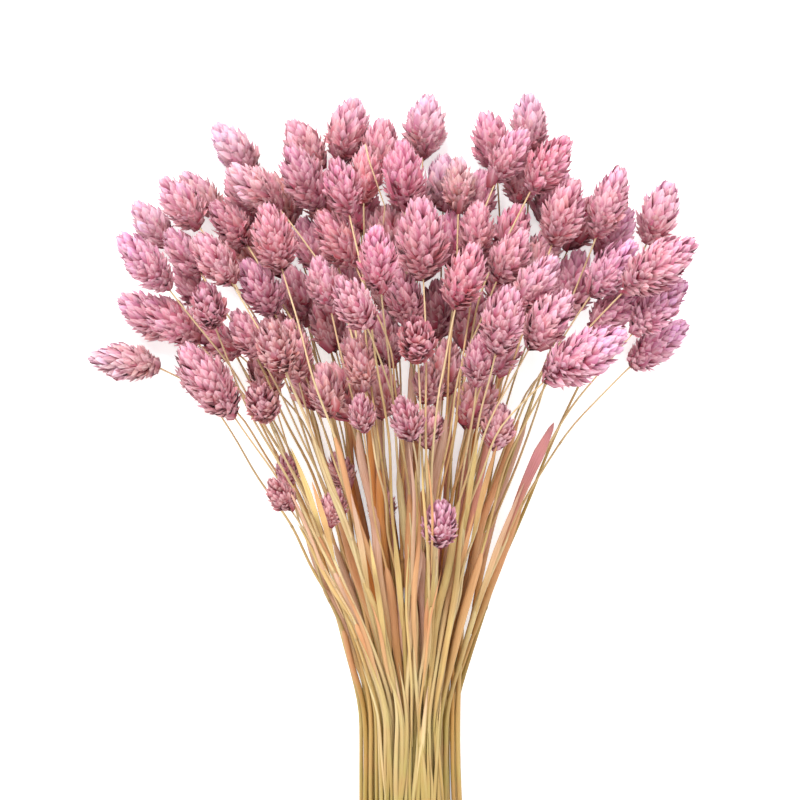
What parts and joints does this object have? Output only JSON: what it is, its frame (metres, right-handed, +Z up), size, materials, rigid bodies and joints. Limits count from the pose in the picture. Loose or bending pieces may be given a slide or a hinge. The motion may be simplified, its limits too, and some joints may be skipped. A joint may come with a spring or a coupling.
{
  "type": "dried canary grass",
  "caption": "Loose bunch of dried canary grass: egg-shaped scaly seed heads, dyed dusty pink, on long straw stems with a few narrow leaves, lying on its side.",
  "frame": {"origin": "middle of the bunch's outline on the surface it lies on", "axes": "+Y along the stems from the cut ends to the seed heads, +Z up from the surface, +X across the fan to the right as seen from above"},
  "size_m": [0.3045, 0.5374, 0.1266],
  "materials": {
    "dyed_seed_heads": "matte",
    "straw_stems": "matte"
  },
  "bodies": {
    "root": {"spray_01": "dyed_seed_heads", "spray_02": "dyed_seed_heads", "spray_03": "dyed_seed_heads", "spray_04": "dyed_seed_heads", "spray_05": "dyed_seed_heads", "spray_06": "dyed_seed_heads", "spray_07": "dyed_seed_heads", "spray_08": "dyed_seed_heads", "spray_09": "dyed_seed_heads", "spray_10": "dyed_seed_heads", "spray_11": "dyed_seed_heads", "spray_12": "dyed_seed_heads", "spray_13": "dyed_seed_heads", "spray_14": "dyed_seed_heads", "spray_15": "dyed_seed_heads", "spray_16": "dyed_seed_heads", "spray_17": "dyed_seed_heads", "spray_18": "dyed_seed_heads", "spray_19": "dyed_seed_heads", "spray_20": "dyed_seed_heads", "spray_21": "dyed_seed_heads", "spray_22": "dyed_seed_heads", "spray_23": "dyed_seed_heads", "spray_24": "dyed_seed_heads", "spray_25": "dyed_seed_heads", "spray_26": "dyed_seed_heads", "spray_27": "dyed_seed_heads", "spray_28": "dyed_seed_heads", "spray_29": "dyed_seed_heads", "spray_30": "dyed_seed_heads", "spray_31": "dyed_seed_heads", "spray_32": "dyed_seed_heads", "spray_33": "dyed_seed_heads", "spray_34": "dyed_seed_heads", "spray_35": "dyed_seed_heads", "spray_36": "dyed_seed_heads", "spray_37": "dyed_seed_heads", "spray_38": "dyed_seed_heads", "spray_39": "dyed_seed_heads", "spray_40": "dyed_seed_heads", "spray_41": "dyed_seed_heads", "spray_42": "dyed_seed_heads", "spray_43": "dyed_seed_heads", "spray_44": "dyed_seed_heads", "spray_45": "dyed_seed_heads", "spray_46": "dyed_seed_heads", "spray_47": "dyed_seed_heads", "spray_48": "dyed_seed_heads", "spray_49": "dyed_seed_heads", "spray_50": "dyed_seed_heads", "spray_51": "dyed_seed_heads", "spray_52": "dyed_seed_heads", "spray_53": "dyed_seed_heads", "spray_54": "dyed_seed_heads", "spray_55": "dyed_seed_heads", "spray_56": "dyed_seed_heads"}
  },
  "joints": []
}
